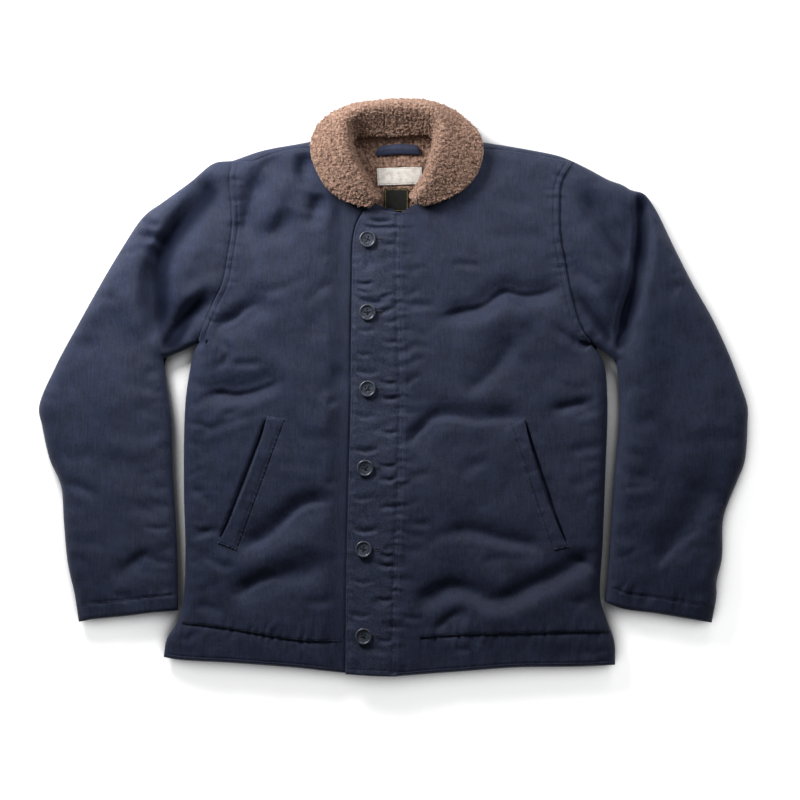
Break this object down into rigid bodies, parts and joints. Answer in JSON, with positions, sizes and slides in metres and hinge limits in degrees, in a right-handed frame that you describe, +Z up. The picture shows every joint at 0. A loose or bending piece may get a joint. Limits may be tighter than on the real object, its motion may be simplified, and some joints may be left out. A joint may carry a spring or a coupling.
{
  "type": "deck jacket",
  "caption": "Navy pile-lined deck jacket laid flat, with a rolled pile collar, buttoned placket, slanting welt pockets and bent sleeves.",
  "frame": {"origin": "middle of the laid jacket's outline, on the surface that it lies on", "axes": "+X across the jacket towards the wearer's left sleeve, +Y towards the collar, +Z up from the surface"},
  "size_m": [0.9107, 0.7428, 0.0566],
  "materials": {
    "navy_cloth": "fine ribbed cotton, matt",
    "pile": "curly brown pile",
    "button_plastic": "satin",
    "white_tape": "woven tape",
    "black_tape": "woven tape"
  },
  "bodies": {
    "root": {"back": "navy_cloth", "front_right": "navy_cloth", "front_left": "navy_cloth", "placket": "navy_cloth", "sleeve_right_upper": "navy_cloth", "sleeve_right_under": "navy_cloth", "sleeve_left_upper": "navy_cloth", "sleeve_left_under": "navy_cloth", "collar": "pile", "undercollar": "navy_cloth", "neck_lining": "pile", "hanger_loop": "navy_cloth", "label_white": "white_tape", "label_black": "black_tape", "pocket_welt_right": "navy_cloth", "pocket_welt_left": "navy_cloth", "button_1": "button_plastic", "button_2": "button_plastic", "button_3": "button_plastic", "button_4": "button_plastic", "button_5": "button_plastic", "button_6": "button_plastic"}
  },
  "joints": []
}
